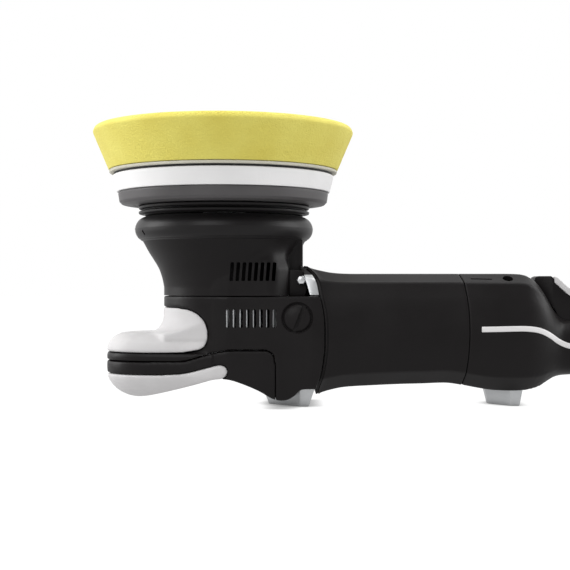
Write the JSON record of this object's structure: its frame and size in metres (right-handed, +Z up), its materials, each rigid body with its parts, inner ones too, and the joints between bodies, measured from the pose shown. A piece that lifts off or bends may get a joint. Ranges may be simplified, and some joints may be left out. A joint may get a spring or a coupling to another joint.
{
  "type": "dual action polisher",
  "caption": "Corded random-orbit car polisher with a round foam pad, palm handle, motor body and paddle trigger, resting on two feet with the pad facing up.",
  "frame": {"origin": "middle of the flat sole of the front foot, on the surface the polisher rests on", "axes": "+Z up, out of the pad's working face; +X along the motor towards the cord end; +Y across the machine"},
  "size_m": [0.4115, 0.149, 0.1574],
  "materials": {
    "foam": "open-cell yellow polishing foam, matt",
    "loop_fabric": "brushed off-white loop backing",
    "hook_fabric": "dark hook tape",
    "plate_foam": "white moulded polyurethane cushion with a fine skin",
    "plate_plastic": "dark grey glass-filled plastic",
    "bright_steel": "ground and zinc plated steel",
    "gear_steel": "hardened gear steel",
    "core_steel": "stacked electrical steel sheets",
    "copper": "enamelled copper",
    "brass": "pressed brass",
    "carbon": "carbon brush block",
    "black_plastic": "finely textured black glass-filled nylon",
    "control_plastic": "smooth dark plastic",
    "black_rubber": "matt black rubber",
    "light_grip": "light grey soft-touch rubber",
    "stripe_white": "white inlaid stripe",
    "cast_alloy": "bead-blasted die-cast aluminium"
  },
  "bodies": {
    "machine": {"bearing_plate": "bright_steel", "brush_holder_left": "brass", "brush_holder_right": "brass", "brush_left": "carbon", "brush_right": "carbon", "case_bolt_left": "bright_steel", "case_bolt_right": "bright_steel", "cord_gland": "black_rubber", "crank_bearing_lower": "bright_steel", "crank_bearing_upper": "bright_steel", "dust_boot": "black_rubber", "field_coil_lower": "copper", "field_coil_upper": "copper", "front_foot": "cast_alloy", "gear_housing": "cast_alloy", "handle_base": "black_plastic", "head_cover": "black_plastic", "lower_grip": "light_grip", "motor_bearing_front": "bright_steel", "motor_bearing_rear": "bright_steel", "motor_end_bridge": "black_plastic", "motor_housing": "black_plastic", "rear_foot": "cast_alloy", "rear_shell_left": "black_plastic", "rear_shell_right": "black_plastic", "shell_screw_left": "bright_steel", "shell_screw_right": "bright_steel", "shroud": "black_plastic", "shroud_bead": "black_rubber", "side_plug_left": "black_plastic", "side_plug_right": "black_plastic", "side_stripe_left": "stripe_white", "side_stripe_right": "stripe_white", "stator_core": "core_steel", "switch_module": "control_plastic", "trigger_pin": "bright_steel", "upper_grip": "light_grip"},
    "pad": {"foam_pad": "foam", "pad_loop_layer": "loop_fabric", "plate_hook_layer": "hook_fabric", "plate_cushion": "plate_foam", "plate_disc": "plate_plastic", "plate_bolt": "bright_steel", "output_spindle": "bright_steel"},
    "crank": {"crank_shaft": "bright_steel", "counterweight": "gear_steel", "crown_gear": "gear_steel", "crown_nut": "bright_steel", "eccentric_bearing": "bright_steel"},
    "armature": {"armature_shaft": "bright_steel", "armature_core": "core_steel", "winding_front": "copper", "winding_rear": "copper", "commutator": "copper", "motor_fan": "black_plastic", "pinion": "gear_steel"},
    "trigger": {"trigger": "black_plastic", "trigger_pad": "light_grip"},
    "lock": {"lock_button": "control_plastic"},
    "dial": {"speed_dial": "control_plastic"}
  },
  "joints": [
    {"name": "crank_spin", "type": "hinge", "parent": "machine", "child": "crank", "pos_m": [-0.037, 0, 0.09], "axis": [0, 0, 1], "continuous": true},
    {"name": "pad_spin", "type": "hinge", "parent": "crank", "child": "pad", "pos_m": [-0.037, -0.0075, 0.1], "axis": [0, 0, 1], "continuous": true},
    {"name": "armature_spin", "type": "hinge", "parent": "machine", "child": "armature", "pos_m": [0.04, 0, 0.042], "axis": [1, 0, 0], "continuous": true},
    {"name": "trigger_pull", "type": "hinge", "parent": "machine", "child": "trigger", "pos_m": [0.221, 0, 0.044], "axis": [0, -1, 0], "range_deg": [0, 2.6], "stiffness_Nm_per_rad": 2, "springref_deg": -3.44},
    {"name": "lock_push", "type": "slide", "parent": "machine", "child": "lock", "axis": [0, 1, 0], "range_m": [0, 0.0022], "stiffness_N_per_m": 400, "springref_m": -0.002},
    {"name": "dial_turn", "type": "hinge", "parent": "machine", "child": "dial", "pos_m": [0.261, 0, 0.0246], "axis": [0, 1, 0], "range_deg": [0, 300]}
  ],
  "couplings": [
    {"joint": "armature_spin", "follows": "crank_spin", "ratio": -3}
  ]
}
